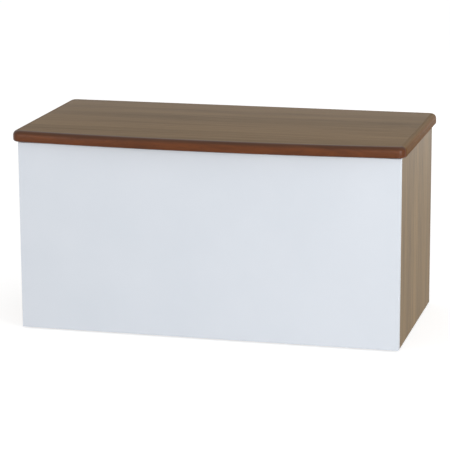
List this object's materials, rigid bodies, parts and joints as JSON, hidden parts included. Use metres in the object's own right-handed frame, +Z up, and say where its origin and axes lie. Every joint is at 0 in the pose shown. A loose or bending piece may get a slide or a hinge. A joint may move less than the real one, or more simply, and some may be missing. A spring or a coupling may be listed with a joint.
{
  "type": "toy box",
  "caption": "Laminated-board toy box with a white front, wood-grain ends and a bow-fronted hinged lid held by damped folding stays.",
  "frame": {"origin": "on the floor, under the middle of the whole box", "axes": "+X to the box's right seen from the front, along its length; +Y to the back; +Z up"},
  "size_m": [0.894, 0.4659, 0.461],
  "materials": {
    "white_board": "satin white melamine",
    "white_tape": "satin white edge tape",
    "walnut_board": "satin walnut-pattern laminate",
    "walnut_tape": "satin walnut-pattern edge tape",
    "lid_moulding": "lacquered red-brown edge moulding",
    "dowel_beech": "plain beech",
    "zinc_casting": "zinc die casting",
    "plated_steel": "nickel-plated steel",
    "damper_plastic": "grey moulded plastic",
    "glide_plastic": "light grey plastic",
    "bumper_rubber": "soft clear-grey rubber"
  },
  "bodies": {
    "carcass": {"front_panel": "white_board", "front_panel_edge_tape": "white_tape", "base_panel": "white_board", "back_panel": "walnut_board", "back_panel_edge_tape": "walnut_tape", "left_side_panel": "walnut_board", "left_side_panel_edge_tape": "walnut_tape", "right_side_panel": "walnut_board", "right_side_panel_edge_tape": "walnut_tape", "cam_locks": "zinc_casting", "cam_bolts": "plated_steel", "wood_dowels": "dowel_beech", "floor_glides": "glide_plastic", "lid_bumpers": "bumper_rubber", "hinge_carcass_leaf": "plated_steel", "hinge_pin": "plated_steel", "hinge_carcass_screws": "plated_steel", "stay_housing_screws": "plated_steel", "stay_housing_left": "damper_plastic", "stay_cap_left": "damper_plastic", "stay_housing_right": "damper_plastic", "stay_cap_right": "damper_plastic"},
    "lid": {"lid_board": "walnut_board", "lid_edge_moulding": "lid_moulding", "hinge_lid_leaf": "plated_steel", "hinge_lid_screws": "plated_steel", "stay_bracket_screws": "plated_steel", "stay_lid_bracket_left": "plated_steel", "stay_lid_rivet_left": "plated_steel", "stay_lid_bracket_right": "plated_steel", "stay_lid_rivet_right": "plated_steel"},
    "stay_crank_left": {"stay_crank_left": "plated_steel", "stay_rotor_left": "damper_plastic", "stay_elbow_rivet_left": "plated_steel"},
    "stay_link_left": {"stay_link_left": "plated_steel"},
    "stay_crank_right": {"stay_crank_right": "plated_steel", "stay_rotor_right": "damper_plastic", "stay_elbow_rivet_right": "plated_steel"},
    "stay_link_right": {"stay_link_right": "plated_steel"}
  },
  "joints": [
    {"name": "lid_hinge", "type": "hinge", "parent": "carcass", "child": "lid", "pos_m": [0, 0.23065, 0.4345], "axis": [-1, 0, 0], "range_deg": [0, 95]},
    {"name": "crank_left_pivot", "type": "hinge", "parent": "carcass", "child": "stay_crank_left", "pos_m": [-0.402, 0.18562, 0.2845], "axis": [-1, 0, 0], "range_deg": [0, 95]},
    {"name": "link_left_pivot", "type": "hinge", "parent": "lid", "child": "stay_link_left", "pos_m": [-0.402, 0.05065, 0.4165], "axis": [-1, 0, 0], "range_deg": [-95, 0]},
    {"name": "crank_right_pivot", "type": "hinge", "parent": "carcass", "child": "stay_crank_right", "pos_m": [0.402, 0.18562, 0.2845], "axis": [-1, 0, 0], "range_deg": [0, 95]},
    {"name": "link_right_pivot", "type": "hinge", "parent": "lid", "child": "stay_link_right", "pos_m": [0.402, 0.05065, 0.4165], "axis": [-1, 0, 0], "range_deg": [-95, 0]}
  ],
  "couplings": [
    {"joint": "crank_left_pivot", "follows": "lid_hinge", "ratio": 1},
    {"joint": "link_left_pivot", "follows": "lid_hinge", "ratio": -1},
    {"joint": "crank_right_pivot", "follows": "lid_hinge", "ratio": 1},
    {"joint": "link_right_pivot", "follows": "lid_hinge", "ratio": -1}
  ]
}
